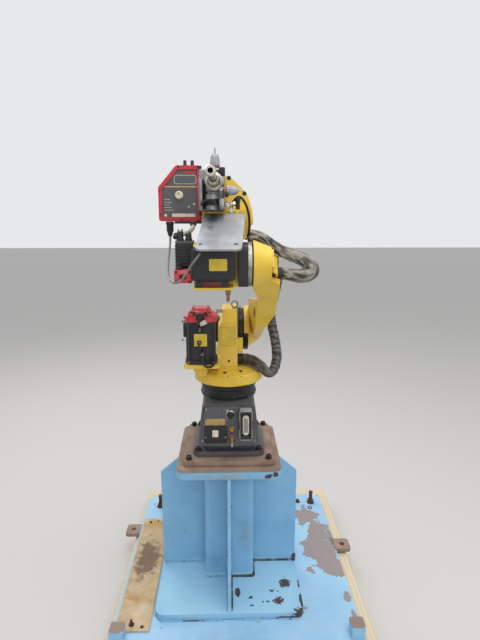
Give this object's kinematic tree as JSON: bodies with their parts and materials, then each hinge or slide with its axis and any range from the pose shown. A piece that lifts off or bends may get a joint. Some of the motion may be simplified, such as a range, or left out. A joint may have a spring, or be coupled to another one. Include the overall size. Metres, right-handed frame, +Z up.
{
  "type": "industrial robot arm",
  "caption": "Six-axis arc-welding robot arm with wire feeder and torch, bolted to a welded steel stand on a floor plate and timber skid.",
  "frame": {"origin": "on the ground, on the underside of the skid's middle timber, below the robot's vertical turning axis", "axes": "+Z up along the turning axis, +Y to the robot's front, +X to the side that carries the lower arm"},
  "size_m": [1.0806, 1.3606, 1.8294],
  "materials": {
    "robot_yellow": "satin",
    "stand_blue": "satin",
    "rusty_steel": "matte",
    "pine": "matte",
    "plain_steel": "satin",
    "grey_casting": "matte",
    "black_cover": "satin",
    "motor_black": "satin",
    "red_plastic": "satin",
    "grey_plastic": "satin",
    "aluminium": "satin",
    "copper": "satin",
    "canvas": "matte",
    "cable_grey": "satin"
  },
  "bodies": {
    "stand": {"floor_plate": "stand_blue", "stand_base_plate": "stand_blue", "stand_column": "stand_blue", "stand_wing_left": "stand_blue", "stand_wing_right": "stand_blue", "stand_gusset_near": "stand_blue", "stand_gusset_far": "stand_blue", "stand_top_plate": "stand_blue", "anchor_tab_left": "rusty_steel", "anchor_tab_right": "rusty_steel", "bare_strip": "rusty_steel", "riser_plate": "rusty_steel", "adapter_plate": "rusty_steel", "skid_timber_left": "pine", "skid_timber_right": "pine", "skid_timber_middle": "pine", "skid_timber_near": "pine", "skid_timber_far": "pine", "levelling_bolt_left": "plain_steel", "levelling_bolt_right": "plain_steel", "robot_base": "grey_casting", "connector_panel": "black_cover", "power_connector": "grey_plastic", "base_ring": "black_cover"},
    "swivel": {"swivel_casting": "robot_yellow", "j1_motor": "motor_black", "j1_motor_cap": "red_plastic", "j2_motor": "motor_black", "j2_reducer": "black_cover", "lifting_eye_swivel": "plain_steel", "lifting_eye_top": "plain_steel", "dress_bundle_lower": "canvas"},
    "lower_arm": {"lower_arm": "robot_yellow", "shoulder_flange": "black_cover", "arm_bracket": "robot_yellow", "dress_bundle_arm": "canvas"},
    "upper_arm": {"elbow_housing": "robot_yellow", "elbow_side_plate": "black_cover", "elbow_reducer": "plain_steel", "drive_cover": "black_cover", "wrist_motor": "motor_black", "drive_motor_cap": "red_plastic", "lower_motor": "black_cover", "feeder_plate": "aluminium", "feeder_bracket": "aluminium", "feeder_drive": "aluminium", "wire_inlet": "plain_steel", "pressure_knob_left": "grey_plastic", "pressure_knob_right": "grey_plastic", "feeder_control_box": "red_plastic", "control_bracket": "aluminium", "signal_socket": "black_cover", "signal_cable": "cable_grey", "dress_bundle_upper": "canvas"},
    "forearm": {"forearm": "robot_yellow"},
    "wrist": {"wrist": "robot_yellow"},
    "tool": {"tool_flange": "plain_steel", "torch_clamp": "aluminium", "torch_body": "black_cover", "torch_nozzle": "copper"}
  },
  "joints": [
    {"name": "j1_turn", "type": "hinge", "parent": "stand", "child": "swivel", "pos_m": [0, 0, 1], "axis": [0, 0, 1], "range_deg": [-170, 170]},
    {"name": "j2_shoulder", "type": "hinge", "parent": "swivel", "child": "lower_arm", "pos_m": [0, 0.15, 1.1641], "axis": [-1, 0, 0], "range_deg": [-31, 93], "deforming": ["dress_bundle_lower"]},
    {"name": "j3_elbow", "type": "hinge", "parent": "lower_arm", "child": "upper_arm", "pos_m": [0, -0.36431, 1.4846], "axis": [1, 0, 0], "range_deg": [-25, 145], "deforming": ["dress_bundle_upper"]},
    {"name": "j4_roll", "type": "hinge", "parent": "upper_arm", "child": "forearm", "pos_m": [0, -0.16431, 1.6731], "axis": [0, 1, 0], "range_deg": [-190, 190]},
    {"name": "j5_bend", "type": "hinge", "parent": "forearm", "child": "wrist", "pos_m": [0, 0.48569, 1.6731], "axis": [1, 0, 0], "range_deg": [-50, 230]},
    {"name": "j6_spin", "type": "hinge", "parent": "wrist", "child": "tool", "pos_m": [0, 0.48569, 1.6025], "axis": [0, 0, -1], "range_deg": [-270, 270]}
  ]
}
